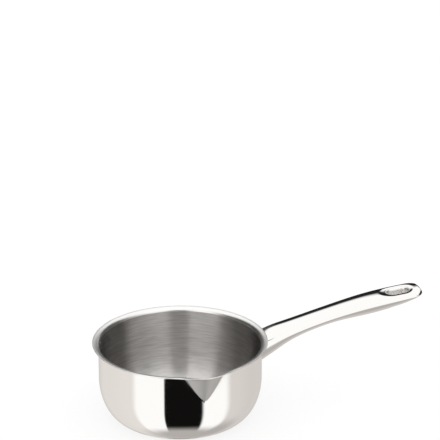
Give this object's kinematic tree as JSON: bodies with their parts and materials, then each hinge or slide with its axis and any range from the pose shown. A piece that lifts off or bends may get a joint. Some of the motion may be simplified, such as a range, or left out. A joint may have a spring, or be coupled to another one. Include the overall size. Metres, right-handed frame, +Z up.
{
  "type": "saucepan",
  "caption": "Small polished stainless-steel saucepan with a flared pouring rim, a pressed side spout and a long hollow handle with a hanging slot.",
  "frame": {"origin": "centre of the base cap's flat underside, on the pan's axis", "axes": "+X runs along the handle away from the pan, -Y points out through the spout, +Z is up out of the pan"},
  "size_m": [0.2991, 0.1572, 0.0913],
  "materials": {
    "polished_steel": "stainless steel, mirror-polished outside and on the lip, satin-brushed round inside",
    "handle_steel": "mirror-polished stainless steel",
    "base_steel": "stainless steel, polished round its edge and turned underneath",
    "plain_steel": "mill-finished steel, hidden",
    "core_aluminium": "plain rolled aluminium, hidden"
  },
  "bodies": {
    "root": {"pan_body": "polished_steel", "heat_spreader_disc": "core_aluminium", "base_cap": "base_steel", "handle_upper_shell": "handle_steel", "handle_lower_shell": "handle_steel", "hanging_slot_sleeve": "handle_steel", "handle_root_plate": "plain_steel"}
  },
  "joints": []
}
